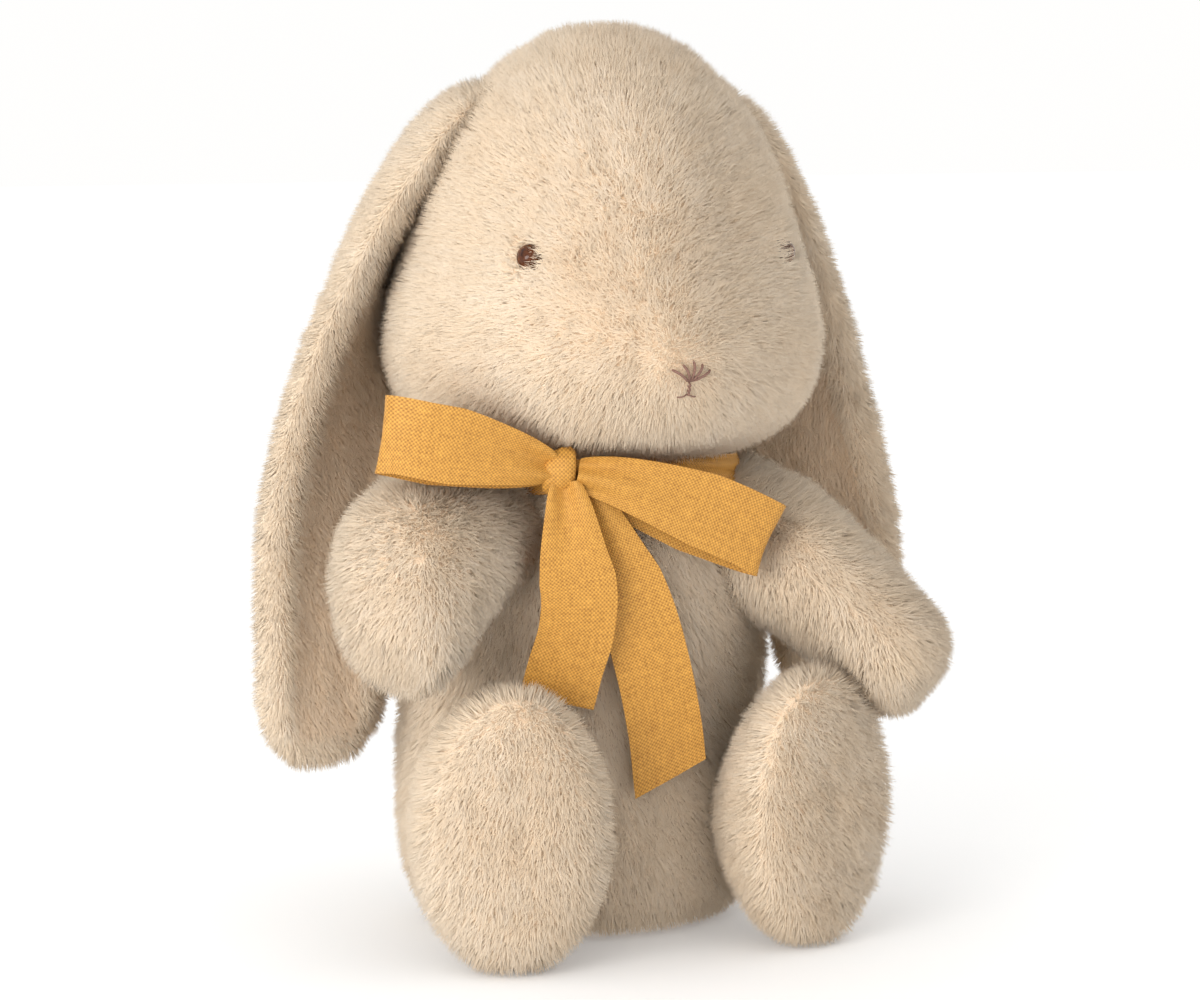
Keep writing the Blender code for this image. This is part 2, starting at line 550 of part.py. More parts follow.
tails = {
    "right": ([(-31.5, -49.0, 133.0), (-30.0, -48.5, 118.0), (-28.5, -46.5, 103.0), (-28.5, -43.0, 90.0), (-29.0, -40.5, 82.5)], (-1, 0.25, 0)),
    "left": ([(-22.0, -45.0, 131.0), (-14.0, -45.0, 117.0), (-5.5, -43.5, 100.0), (1.0, -40.0, 80.0), (5.0, -37.5, 60.0), (6.5, -36.5, 47.0)], (-0.95, 0.2, 0)),
}
tail_pivots = {}
for s, (points, across) in tails.items():
    tail_pivots[s] = pivot(f"ribbon_tail_{s}_pivot", points[0], torso)
    path = smooth(points, 2)
    n = len(path)
    widths = [7.0 + (RIBBON_W - 7.0) * min(1.0, k / (n - 1) * 1.9) for k in range(n)]
    strip(path, widths, [across] * n, RIBBON_T, RIBBON, f"ribbon_tail_{s}", tail_pivots[s])
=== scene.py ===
"""The plush rabbit's looks: fur, lining, ribbon, face and light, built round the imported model."""
import math

import bpy
import numpy as np
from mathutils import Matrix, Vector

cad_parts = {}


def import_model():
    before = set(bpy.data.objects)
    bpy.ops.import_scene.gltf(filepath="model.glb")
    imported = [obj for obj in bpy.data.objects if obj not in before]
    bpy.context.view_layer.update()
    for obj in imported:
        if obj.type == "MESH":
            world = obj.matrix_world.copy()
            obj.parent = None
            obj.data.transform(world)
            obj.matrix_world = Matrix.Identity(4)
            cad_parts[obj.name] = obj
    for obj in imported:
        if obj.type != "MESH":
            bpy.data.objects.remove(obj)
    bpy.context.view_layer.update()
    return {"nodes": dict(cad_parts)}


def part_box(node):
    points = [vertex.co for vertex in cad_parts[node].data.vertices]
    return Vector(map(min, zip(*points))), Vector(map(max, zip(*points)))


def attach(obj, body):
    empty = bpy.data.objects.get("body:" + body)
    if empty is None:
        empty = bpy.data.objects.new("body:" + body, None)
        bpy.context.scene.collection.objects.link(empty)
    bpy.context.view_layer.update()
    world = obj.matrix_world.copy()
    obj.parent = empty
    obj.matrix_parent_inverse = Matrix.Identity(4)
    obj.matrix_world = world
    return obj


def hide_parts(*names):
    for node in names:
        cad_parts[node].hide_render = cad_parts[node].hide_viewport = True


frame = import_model()
NODES = frame["nodes"]
MM = 0.001
SHIFT_Y = -6.94
HEAD_Y = -2.0


def world(p):
    """From the rabbit's own millimetres to the frame's metres."""
    return (np.asarray(p, float) + (0.0, SHIFT_Y, 0.0)) * MM


def unit(v):
    v = np.asarray(v, float)
    return v / np.maximum(np.linalg.norm(v, axis=-1, keepdims=True), 1e-12)


def smooth(rows, steps):
    rows = np.array(rows, float)
    ends = np.vstack([2 * rows[0] - rows[1], rows, 2 * rows[-1] - rows[-2]])
    out = []
    for i in range(1, len(ends) - 2):
        a, b, c, d = ends[i - 1:i + 3]
        t = (np.arange(steps) / steps)[:, None]
        out.append(0.5 * (2 * b + (c - a) * t + (2 * a - 5 * b + 4 * c - d) * t * t + (3 * b - a - 3 * c + d) * t ** 3))
    out.append(rows[-1:])
    return np.vstack(out)


def even(points, n):
    """The same curve with n points at even steps of length along its first columns."""
    points = np.array(points, float)
    run = np.concatenate([[0], np.cumsum(np.linalg.norm(np.diff(points[:, :3], axis=0), axis=1))])
    at = np.linspace(0, run[-1], n)
    return np.stack([np.interp(at, run, points[:, k]) for k in range(points.shape[1])], axis=1)


def lattice(p, cell, seed):
    """Smooth noise from -1 to 1, the same on every run."""
    q = np.asarray(p, float) / cell
    base = np.floor(q).astype(np.int64)
    f = q - base
    f = f * f * (3 - 2 * f)
    total = np.zeros(q.shape[:-1])
    for dx in (0, 1):
        for dy in (0, 1):
            for dz in (0, 1):
                i, j, k = base[..., 0] + dx, base[..., 1] + dy, base[..., 2] + dz
                h = (i * 73856093) ^ (j * 19349663) ^ (k * 83492791) ^ (seed * 2654435761)
                h = (h ^ (h >> 13)) * 1274126177
                h = (h ^ (h >> 16)) & 0xFFFF
                w = (f[..., 0] if dx else 1 - f[..., 0]) * (f[..., 1] if dy else 1 - f[..., 1]) * (f[..., 2] if dz else 1 - f[..., 2])
                total += w * (h / 32767.5 - 1)
    return total


def noise3(p, cell, seed):
    return np.stack([lattice(p, cell, seed + k) for k in range(3)], axis=-1)


# ------------------------------------------------------------------ materials
def new_material(name, colour, roughness):
    mat = bpy.data.materials.new(name)
    mat.use_nodes = True
    p = mat.node_tree.nodes["Principled BSDF"]
    p.inputs["Base Color"].default_value = (*colour, 1)
    p.inputs["Roughness"].default_value = roughness
    mat.diffuse_color = (*colour, 1)
    return mat, mat.node_tree, p


def node(nt, kind, **values):
    made = nt.nodes.new(kind)
    for k, v in values.items():
        if hasattr(made, k):
            setattr(made, k, v)
        else:
            made.inputs[k].default_value = v
    return made


def mottled(name, dark, light, roughness, scale, bump=0.0, bump_scale=900.0, sheen=0.0, sheen_tint=None):
    """Two colours mixed by noise in the object's own space, with a fine noise bump."""
    mat, nt, p = new_material(name, light, roughness)
    co = node(nt, "ShaderNodeTexCoord")
    n = node(nt, "ShaderNodeTexNoise", Scale=scale, Detail=3.0, Roughness=0.6)
    nt.links.new(co.outputs["Object"], n.inputs["Vector"])
    ramp = node(nt, "ShaderNodeValToRGB")
    ramp.color_ramp.elements[0].position = 0.35
    ramp.color_ramp.elements[1].position = 0.65
    ramp.color_ramp.elements[0].color = (*dark, 1)
    ramp.color_ramp.elements[1].color = (*light, 1)
    nt.links.new(n.outputs["Fac"], ramp.inputs["Fac"])
    nt.links.new(ramp.outputs["Color"], p.inputs["Base Color"])
    if sheen:
        p.inputs["Sheen Weight"].default_value = sheen
        p.inputs["Sheen Roughness"].default_value = 0.5
        if sheen_tint:
            p.inputs["Sheen Tint"].default_value = (*sheen_tint, 1)
    if bump:
        fine = node(nt, "ShaderNodeTexNoise", Scale=bump_scale, Detail=2.0)
        nt.links.new(co.outputs["Object"], fine.inputs["Vector"])
        b = node(nt, "ShaderNodeBump", Strength=bump, Distance=0.001)
        nt.links.new(fine.outputs["Fac"], b.inputs["Height"])
        nt.links.new(b.outputs["Normal"], p.inputs["Normal"])
    return mat


SKIN = mottled("fur_backing", (0.74, 0.56, 0.40), (0.83, 0.66, 0.49), 0.95, 260.0, 0.6, 1500.0)
# the lining's own peach colour, made lighter as painted light for the light that reaches into the shaded channel of the
# ear
LINING_SKIN = mottled("lining_backing", (0.84, 0.62, 0.43), (0.90, 0.70, 0.50), 0.95, 260.0, 0.6, 1500.0)
FILL = mottled("polyester_fill", (0.74, 0.73, 0.70), (0.90, 0.89, 0.86), 1.0, 400.0, 0.8, 700.0)
PELLET = mottled("pellet_cloth", (0.62, 0.61, 0.56), (0.74, 0.73, 0.68), 0.9, 900.0, 0.7, 2500.0)
WASHER = mottled("washer_plastic", (0.66, 0.66, 0.64), (0.75, 0.75, 0.73), 0.45, 300.0, 0.1, 800.0)
EYE = mottled("eye_resin", (0.034, 0.008, 0.002), (0.130, 0.036, 0.008), 0.12, 500.0)
EYE.node_tree.nodes["Principled BSDF"].inputs["Specular IOR Level"].default_value = 0.25
EYE.node_tree.nodes["Principled BSDF"].inputs["Coat Weight"].default_value = 0.15
EYE.node_tree.nodes["Principled BSDF"].inputs["Coat Roughness"].default_value = 0.03
THREAD = mottled("nose_thread", (0.17, 0.085, 0.065), (0.30, 0.165, 0.125), 0.65, 2600.0, 0.5, 4000.0)

FUR_TONES = {
    "cream": [(0.930, 0.765, 0.580), (0.945, 0.800, 0.635), (0.915, 0.735, 0.540), (0.895, 0.700, 0.500)],
    # peach: the lining's own colour, partly painted light, lightened to stand in for light reaching into the ear's
    # shaded channel
    "peach": [(0.945, 0.745, 0.545), (0.955, 0.775, 0.590), (0.930, 0.710, 0.500), (0.905, 0.675, 0.455)],
}
TONES = {}
for family, tones in FUR_TONES.items():
    TONES[family] = []
    for i, tone in enumerate(tones):
        mat, nt, p = new_material(f"pile_{family}_{i}", tone, 0.85)
        p.inputs["Specular IOR Level"].default_value = 0.15
        p.inputs["Sheen Weight"].default_value = 0.10
        p.inputs["Sheen Roughness"].default_value = 0.4
        p.inputs["Sheen Tint"].default_value = (1.0, 0.96, 0.90, 1.0)
        co = node(nt, "ShaderNodeTexCoord")
        grain = node(nt, "ShaderNodeTexNoise", Scale=180.0 + 40.0 * i, Detail=2.0)
        nt.links.new(co.outputs["Object"], grain.inputs["Vector"])
        gloss = node(nt, "ShaderNodeMapRange")
        gloss.inputs["To Min"].default_value = 0.72
        gloss.inputs["To Max"].default_value = 0.96
        nt.links.new(grain.outputs["Fac"], gloss.inputs["Value"])
        nt.links.new(gloss.outputs["Result"], p.inputs["Roughness"])
        TONES[family].append(mat)


def ribbon_material():
    """Plain weave: warp and weft ribs crossing on the ribbon's own length and width."""
    mat, nt, p = new_material("ribbon_weave", (0.78, 0.43, 0.08), 0.62)
    uv = node(nt, "ShaderNodeUVMap", uv_map="run")
    split = node(nt, "ShaderNodeSeparateXYZ")
    nt.links.new(uv.outputs["UV"], split.inputs[0])
    waves = []
    for axis in ("X", "Y"):
        times = node(nt, "ShaderNodeMath", operation="MULTIPLY")
        times.inputs[1].default_value = math.pi / 0.0058      # the map is in decimetres, a rib each 0.58 mm
        nt.links.new(split.outputs[axis], times.inputs[0])
        s = node(nt, "ShaderNodeMath", operation="SINE")
        nt.links.new(times.outputs[0], s.inputs[0])
        waves.append(s)
    cross = node(nt, "ShaderNodeMath", operation="MULTIPLY")
    nt.links.new(waves[0].outputs[0], cross.inputs[0])
    nt.links.new(waves[1].outputs[0], cross.inputs[1])
    high = node(nt, "ShaderNodeMath", operation="ABSOLUTE")
    nt.links.new(cross.outputs[0], high.inputs[0])
    half = node(nt, "ShaderNodeMath", operation="MULTIPLY_ADD")
    half.inputs[1].default_value = 0.5
    half.inputs[2].default_value = 0.5
    nt.links.new(cross.outputs[0], half.inputs[0])
    co = node(nt, "ShaderNodeTexCoord")
    n = node(nt, "ShaderNodeTexNoise", Scale=1200.0, Detail=2.0)
    nt.links.new(co.outputs["Object"], n.inputs["Vector"])
    add = node(nt, "ShaderNodeMath", operation="MULTIPLY_ADD")
    add.inputs[1].default_value = 0.45
    nt.links.new(n.outputs["Fac"], add.inputs[0])
    nt.links.new(half.outputs[0], add.inputs[2])
    stretch = node(nt, "ShaderNodeVectorMath", operation="MULTIPLY")
    stretch.inputs[1].default_value = (150.0, 18.0, 1.0)
    nt.links.new(uv.outputs["UV"], stretch.inputs[0])
    slub = node(nt, "ShaderNodeTexNoise", Scale=1.0, Detail=2.0)
    nt.links.new(stretch.outputs[0], slub.inputs["Vector"])
    stretch2 = node(nt, "ShaderNodeVectorMath", operation="MULTIPLY")
    stretch2.inputs[1].default_value = (16.0, 150.0, 1.0)
    nt.links.new(uv.outputs["UV"], stretch2.inputs[0])
    slub2 = node(nt, "ShaderNodeTexNoise", Scale=1.0, Detail=2.0)
    nt.links.new(stretch2.outputs[0], slub2.inputs["Vector"])
    both = node(nt, "ShaderNodeMath", operation="ADD")
    nt.links.new(slub.outputs["Fac"], both.inputs[0])
    nt.links.new(slub2.outputs["Fac"], both.inputs[1])
    mixed = node(nt, "ShaderNodeMath", operation="MULTIPLY_ADD")
    mixed.inputs[1].default_value = 0.9
    nt.links.new(both.outputs[0], mixed.inputs[0])
    nt.links.new(add.outputs[0], mixed.inputs[2])
    add = mixed
    ramp = node(nt, "ShaderNodeValToRGB")
    ramp.color_ramp.elements[0].position = 0.0
    ramp.color_ramp.elements[1].position = 1.0
    norm = node(nt, "ShaderNodeMapRange")
    norm.inputs["From Min"].default_value = 0.9
    norm.inputs["From Max"].default_value = 2.35
    nt.links.new(add.outputs[0], norm.inputs["Value"])
    add = norm
    ramp.color_ramp.elements[0].color = (0.26, 0.100, 0.008, 1)
    ramp.color_ramp.elements[1].color = (0.78, 0.400, 0.070, 1)
    nt.links.new(add.outputs[0], ramp.inputs["Fac"])
    nt.links.new(ramp.outputs["Color"], p.inputs["Base Color"])
    b = node(nt, "ShaderNodeBump", Strength=0.35, Distance=0.0002)
    nt.links.new(high.outputs[0], b.inputs["Height"])
    nt.links.new(b.outputs["Normal"], p.inputs["Normal"])
    p.inputs["Sheen Weight"].default_value = 0.08
    p.inputs["Sheen Roughness"].default_value = 0.35
    p.inputs["Sheen Tint"].default_value = (1.0, 0.80, 0.45, 1.0)
    return mat


RIBBON = ribbon_material()


# ------------------------------------------------------------------ meshes
def link(name, mesh, mats, body, replaces=()):
    obj = bpy.data.objects.new(name, mesh)
    bpy.context.scene.collection.objects.link(obj)
    for m in mats:
        mesh.materials.append(m)
    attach(obj, body)
    if replaces:
        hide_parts(*replaces)
    return obj


def mesh_of(name, verts, faces):
    """A mesh in metres from the rabbit's millimetres; faces is an array of equal-sided faces or a list."""
    mesh = bpy.data.meshes.new(name)
    verts = world(verts)
    if isinstance(faces, np.ndarray):
        sides = faces.shape[1]
        mesh.vertices.add(len(verts))
        mesh.vertices.foreach_set("co", verts.astype(np.float32).ravel())
        mesh.loops.add(faces.size)
        mesh.loops.foreach_set("vertex_index", faces.astype(np.int32).ravel())
        mesh.polygons.add(len(faces))
        mesh.polygons.foreach_set("loop_start", np.arange(0, faces.size, sides, dtype=np.int32))
        mesh.update(calc_edges=True)
    else:
        mesh.from_pydata([tuple(v) for v in verts], [], [tuple(int(i) for i in f) for f in faces])
    return mesh


class Skin:
    """A closed surface of rings, with an end point at each side."""

    def __init__(self, grid):
        m, n = grid.shape[:2]
        self.grid = grid
        self.verts = np.vstack([grid.reshape(-1, 3), grid[0].mean(axis=0), grid[-1].mean(axis=0)])
        i, j = np.meshgrid(np.arange(m - 1), np.arange(n), indexing="ij")
        k = (j + 1) % n
        quads = np.stack([i * n + j, i * n + k, (i + 1) * n + k, (i + 1) * n + j], -1).reshape(-1, 4)
        jj = np.arange(n)
        kk = (jj + 1) % n
        low = np.stack([kk, jj, np.full(n, m * n)], -1)
        high = np.stack([(m - 1) * n + jj, (m - 1) * n + kk, np.full(n, m * n + 1)], -1)
        tris = np.vstack([quads[:, [0, 1, 2]], quads[:, [0, 2, 3]], low, high])
        a, b, c = (self.verts[tris[:, q]] for q in range(3))
        if (np.cross(b - a, c - a) * (a - self.verts.mean(axis=0))).sum() < 0:
            quads, low, high, tris = quads[:, ::-1], low[:, ::-1], high[:, ::-1], tris[:, ::-1]
        self.quads, self.caps, self.tris = quads, np.vstack([low, high]), tris
        a, b, c = (self.verts[tris[:, q]] for q in range(3))
        flat = np.cross(b - a, c - a)
        self.area = np.linalg.norm(flat, axis=1) / 2
        normals = np.zeros_like(self.verts)
        for q in range(3):
            np.add.at(normals, tris[:, q], flat)
        self.normals = unit(normals)

    def mesh(self, name):
        mesh = mesh_of(name, self.verts, [*self.quads.tolist(), *self.caps.tolist()])
        mesh.shade_smooth()
        return mesh

    def scatter(self, per_mm2, rng, keep=None):
        """Points spread evenly over the surface, with their outward directions."""
        weight = self.area.copy()
        count = int(weight.sum() * per_mm2)
        run = np.cumsum(weight)
        pick = np.searchsorted(run, rng.random(count) * run[-1])
        pick = np.minimum(pick, len(run) - 1)
        s, t = np.sqrt(rng.random(count)), rng.random(count)
        w = np.stack([1 - s, s * (1 - t), s * t], -1)[..., None]
        corner = self.tris[pick]
        p = (self.verts[corner] * w).sum(axis=1)
        n = unit((self.normals[corner] * w).sum(axis=1))
        if keep is not None:
            inside = keep(p)
            p, n = p[inside], n[inside]
        return p, n


STRAND_LIMIT = 66_000
TOTAL = {"strands": 0}


def fur(name, body, p, n, flow, rng, length=5.6, width=0.20, lean=0.55, family="cream", clump=0.42, trim=None, soft=0.86):
    """Pile: one thin three-sided spike for each fibre tuft, leaning along the nap and gathered by noise."""
    flow = flow - n * (flow * n).sum(-1, keepdims=True)
    flow = unit(flow) * np.minimum(np.linalg.norm(flow, axis=-1, keepdims=True), 1.0)
    tuft = noise3(p, 3.4, 11) * 0.65 + noise3(p, 1.5, 23) * 0.5
    tuft -= n * (tuft * n).sum(-1, keepdims=True)
    stray = rng.normal(size=p.shape) * 0.20
    d = unit(n + flow * lean + tuft * clump + stray)
    long = length * (0.82 + 0.30 * rng.random(len(p)) + 0.12 * lattice(p, 4.0, 37))
    if trim is not None:
        long = long * trim(p)
        keep = long > 0.6
        p, n, d, long = p[keep], n[keep], d[keep], long[keep]
    roll = rng.random(len(p)) * 2 * math.pi
    u = unit(np.cross(d, rng.normal(size=p.shape)))
    v = np.cross(d, u)
    w = width * (0.75 + 0.5 * rng.random(len(p)))[:, None]
    base = p - n * 0.35
    verts = np.empty((len(p), 4, 3))
    normals = np.empty((len(p), 4, 3))
    for k in range(3):
        a = (roll + k * 2 * math.pi / 3)[:, None]
        out = u * np.cos(a) + v * np.sin(a)
        verts[:, k] = base + out * w
        normals[:, k] = unit(n * soft + out * (1 - soft))
    sag = np.array((0, 0, -1.0)) * 0.06
    verts[:, 3] = base + unit(d + sag) * (long + 0.35)[:, None]
    normals[:, 3] = unit(n * soft + d * (1 - soft))
    verts[..., 2] = np.maximum(verts[..., 2], 0.15)      # the pile lies on what the rabbit sits on
    # tone: broad warm and light areas, and a little for each fibre
    value = lattice(p, 22.0, 5) * 0.45 + lattice(p, 6.0, 7) * 0.35 + rng.normal(size=len(p)) * 0.32
    tone = np.select([value > 0.45, value > -0.30, value > -0.75], [1, 0, 2], 3)
    made = []
    parts = max(1, -(-len(p) // STRAND_LIMIT))
    order = np.argsort(p[:, 2], kind="stable")
    for part in range(parts):
        chosen = order[part * len(p) // parts:(part + 1) * len(p) // parts]
        vs, ns, ts = verts[chosen], normals[chosen], tone[chosen]
        m = len(chosen)
        o = np.arange(m)[:, None] * 4
        faces = np.stack([o + (0, 1, 3), o + (1, 2, 3), o + (2, 0, 3)], axis=1).reshape(-1, 3)
        mesh = mesh_of(f"{name}_{part + 1}" if parts > 1 else name, vs.reshape(-1, 3), faces)
        mesh.polygons.foreach_set("material_index", np.repeat(ts, 3).astype(np.int32))
        mesh.polygons.foreach_set("use_smooth", np.ones(m * 3, bool))
        mesh.normals_split_custom_set_from_vertices(ns.reshape(-1, 3).astype(np.float32))
        made.append(link(mesh.name, mesh, TONES[family], body))
        TOTAL["strands"] += m
    return made


# ------------------------------------------------------------------ surfaces
HEAD_PROFILE = [(147.2, 0.0), (147.9, 32.0), (151.0, 43.0), (155.5, 51.5), (163.0, 58.0), (176.0, 61.5), (190.0, 59.8),
                (204.0, 55.0), (226.0, 48.6), (241.0, 41.0), (253.0, 31.2), (261.6, 20.2), (265.9, 10.0), (267.0, 0.0)]
HEAD_CURVE = even(np.hstack([smooth(HEAD_PROFILE, 8), np.zeros((8 * 13 + 1, 1))]), 90)
DENS = 0.85


def head_r(z):
    c = HEAD_CURVE[1:-1]
    return np.interp(z, np.maximum.accumulate(c[:, 0]), c[:, 1])


EYES = {}
for s_ in ("right", "left"):
    low, high = (np.array(c) / MM - (0, SHIFT_Y, 0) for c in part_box(f"eye_{s_}"))
    EYES[s_] = (low + high) / 2


def head_skin():
    t = np.linspace(0, 2 * math.pi, 140, endpoint=False)
    rows = HEAD_CURVE[1:-1]
    x = rows[:, 1:2] * np.cos(t)
    y = HEAD_Y + rows[:, 1:2] * np.sin(t)
    z = np.repeat(rows[:, :1], len(t), 1)
    grid = np.stack([x, y, z], -1)
    # seams of the centre panel, a soft ridge down the face, and a slight fullness of the muzzle
    seam = np.exp(-((np.abs(grid[..., 0]) - (13 + 0.05 * np.abs(z - 170))) / 1.1) ** 2) * (y < 30)
    centre = np.array((0, HEAD_Y, 200.0))
    front = np.clip(-(y - HEAD_Y) / np.maximum(np.hypot(x, y - HEAD_Y), 1e-6), 0, 1)
    ridge = np.exp(-(x / 17.0) ** 2) * front ** 2 * np.clip((z - 150) / 20, 0, 1) * np.clip((262 - z) / 30, 0, 1)
    muzzle = np.exp(-(x / 24.0) ** 2 - ((z - 172) / 18.0) ** 2) * front ** 4
    grid = grid + unit(grid - centre) * (1.9 * ridge + 1.2 * muzzle - 0.6 * seam)[..., None]
    for c in EYES.values():
        out = unit(c - centre)
        near = np.exp(-(np.linalg.norm(np.cross(grid - centre, out), axis=-1) / 12.0) ** 2) * ((grid - centre) @ out > 0)
        lift = max(0.0, np.linalg.norm(c - centre) + 1.9 - float(np.max(np.where(near > 0.97, np.linalg.norm(grid - centre, axis=-1), 0))))
        grid = grid + unit(grid - centre) * (near * lift)[..., None]
    return Skin(grid)


NECK_Y, NECK_Z, NECK_R = 6.0, 122.0, 42.0
TORSO_PROFILE = [(1.2, 34.0, 29.0, 15.0), (3.0, 42.5, 36.0, 15.5), (10.0, 49.0, 40.5, 16.0), (24.0, 53.0, 43.0, 16.0),
                 (45.0, 54.2, 43.5, 16.0), (65.0, 53.6, 42.5, 15.0), (85.0, 53.4, 41.5, 12.0), (102.0, 50.4, 41.5, 8.5)]


def torso_skin():
    top = [(z, math.sqrt(NECK_R ** 2 - (z - NECK_Z) ** 2), math.sqrt(NECK_R ** 2 - (z - NECK_Z) ** 2), NECK_Y) for z in (116.0, 124.0, 132.0, 139.0, 145.0, 149.5)]
    rows = smooth(TORSO_PROFILE + top, 6)
    t = np.linspace(0, 2 * math.pi, 120, endpoint=False)
    grid = np.stack([rows[:, 1:2] * np.cos(t), rows[:, 3:4] + rows[:, 2:3] * np.sin(t), np.repeat(rows[:, :1], len(t), 1)], -1)
    side = np.exp(-(grid[..., 1] - rows[:, 3:4]) ** 2 / 2.0)
    grid[..., 0] *= 1 - 0.012 * side
    return Skin(grid)


def limb(root, radius, axis, u, v, tip, profile, off, bow=(0.0, 0.0, 0.0)):
    root, tip = np.array(root, float), np.array(tip, float)
    axis = np.array(axis, float)
    rows = []
    for a in np.radians((176, 160, 140, 118)):
        c = root + axis * (radius - off) * math.cos(a)
        rows.append((*c, (radius - off) * math.sin(a), (radius - off) * math.sin(a)))
    for share, a, b in profile:
        c = root + (tip - root) * share
        rows.append((*c, max(a - off, a * 0.5), max(b - off, b * 0.5)))
    rows = np.array(rows)
    rows[-1, :3] -= axis * off
    rows = even(smooth(rows, 6), 70)
    reach = np.clip(((rows[:, :3] - root) @ axis) / np.linalg.norm(tip - root), 0, 1)
    rows[:, :3] += np.sin(math.pi * reach)[:, None] * np.array(bow)
    t = np.linspace(0, 2 * math.pi, 90, endpoint=False)
    grid = rows[:, None, :3] + np.cos(t)[None, :, None] * u * rows[:, 3:4, None] + np.sin(t)[None, :, None] * v * rows[:, 4:5, None]
    return grid, rows


SHOULDER, SHOULDER_R = (42.0, -12.0, 115.5), 16.5
ARM_TIPS = {"right": (-90.0, -48.0, 91.0), "left": (84.0, -50.0, 84.0)}
ARM_WIDE = {"right": (0.78, -0.38, -0.50), "left": (-0.35, -0.88, 0.30)}
ARM_PROFILE = [(0.12, 16.8, 16.2), (0.3, 20.5, 16.8), (0.5, 24.0, 17.0), (0.7, 24.6, 16.8), (0.86, 21.0, 14.6),
               (0.95, 14.6, 10.2), (0.985, 8.6, 6.2), (1.0, 3.0, 2.2)]
HIP, HIP_R = (42.0, -8.0, 34.0), 18.0
FOOT = (48.0, -57.0, 43.0)
TOE_OUT = math.radians(18.0)
LEG_PROFILE = [(0.12, 17.2, 17.2), (0.22, 16.6, 17.2), (0.34, 18.4, 20.4), (0.5, 22.5, 28.0), (0.68, 26.0, 36.5),
               (0.82, 27.0, 39.4), (0.91, 26.6, 39.2), (0.96, 25.4, 38.0), (1.0, 23.2, 35.6), (1.04, 19.2, 30.6), (1.07, 13.6, 22.6), (1.088, 7.2, 12.4), (1.094, 2.4, 4.4)]
EAR_ROOT = (50.0, 12.0, 241.0)
EAR_SPINE = [(33.0, 6.0, 249.0, 6.0, 2.6, 80.0), (39.5, 7.5, 246.0, 10.5, 3.6, 78.0), (44.8, 9.0, 241.0, 13.5, 4.4, 76.0), (50.4, 11.5, 233.0, 15.8, 5.0, 73.0), (56.6, 16.0, 221.0, 17.6, 5.4, 67.0),
             (62.6, 20.0, 206.0, 19.4, 5.6, 60.0), (67.0, 23.2, 188.0, 21.2, 5.6, 50.0), (70.4, 23.8, 170.0, 22.6, 5.6, 40.0),
             (74.4, 21.4, 146.0, 23.2, 5.6, 26.0), (79.2, 15.8, 121.0, 22.8, 5.6, 15.0), (81.6, 12.4, 104.0, 21.3, 5.6, 9.0),
             (83.0, 10.6, 90.0, 19.8, 5.6, 7.0), (84.6, 9.6, 78.0, 18.3, 5.3, 6.0), (85.6, 9.2, 67.0, 16.2, 4.9, 6.0),
             (85.4, 9.0, 60.0, 11.6, 4.2, 6.0), (85.0, 8.8, 56.6, 7.4, 3.2, 6.0), (85.0, 8.8, 55.4, 3.0, 1.6, 6.0)]

rng = np.random.default_rng(20240613)

# ---- head
head = head_skin()
skin = link("head_fur_backing", head.mesh("head_fur_backing"), [SKIN], "head", ("head_side_right", "head_side_left", "head_gusset"))
inner = Skin(head.grid - head.normals[:-2].reshape(head.grid.shape) * 2.4)
filling = link("head_filling", inner.mesh("head_filling"), [FILL], "head", ("head_stuffing",))
NOSE = np.array((0.0, HEAD_Y - float(head_r(171.4)) - 3.0, 171.4))


def face_trim(p):
    """Pile is clipped round the eyes and under the stitches."""
    out = np.ones(len(p))
    for c in EYES.values():
        r = p - c
        side = unit(np.array((-c[1] + HEAD_Y, c[0], 0.0)))
        across, up = r @ side, r[:, 2]
        d = np.sqrt((across / 2.9) ** 2 + (up / 3.9) ** 2 + ((np.linalg.norm(r, axis=1) > 12) * 100))
        close = np.linalg.norm(r, axis=1) < 9
        inward = across * np.sign(side[0] * c[0]) < 0
        out *= np.where(close & inward, 1.14, 1.0)
        out *= np.where(close & ~inward, np.clip((d - 1.0) / 1.3, 0.0, 1.0) * 0.35 + 0.65, 1.0)
        out *= d > 1.0
    q = p - NOSE
    d = np.hypot(q[:, 0] / 1.1, q[:, 2] - 0.5)
    front = p[:, 1] < -30
    out *= np.where(front, np.clip((d - 3.0) / 12.0, 0.0, 1.0) * 0.55 + 0.45, 1.0)
    return out


def head_flow(p, n):
    away = unit(p - NOSE)
    flow = away * 0.8 + np.array((0, 0, -0.35))
    for c in EYES.values():
        r = p - c
        side = unit(np.array((-c[1] + HEAD_Y, c[0], 0.0)))
        across = r @ side
        near = np.exp(-(np.linalg.norm(r, axis=1) / 6.5) ** 2)
        flow = flow * (1 - near)[:, None] - side * (np.sign(across) * near * 1.1)[:, None]
    return flow


p, n = head.scatter(4.2 * DENS, rng)
fur("head_fur", "head", p, n, head_flow(p, n), rng, length=5.4, lean=0.60, trim=face_trim)

# ---- torso
torso = torso_skin()
skin = link("torso_fur_backing", torso.mesh("torso_fur_backing"), [SKIN], "torso", ("torso_front", "torso_back", "seat_panel"))


def not_under(p):
    return (p[:, 2] > 3.0) & (p[:, 2] < 148)


p, n = torso.scatter(3.3 * DENS, rng, not_under)
fur("torso_fur", "torso", p, n, np.repeat([[0, -0.1, -1.0]], len(p), 0), rng, length=5.6, lean=0.7,
    trim=lambda q: np.clip((q[:, 2] + 1) / 8.0, 0.3, 1.0) * np.clip((150.0 - q[:, 2]) / 16.0, 0.25, 1.0))

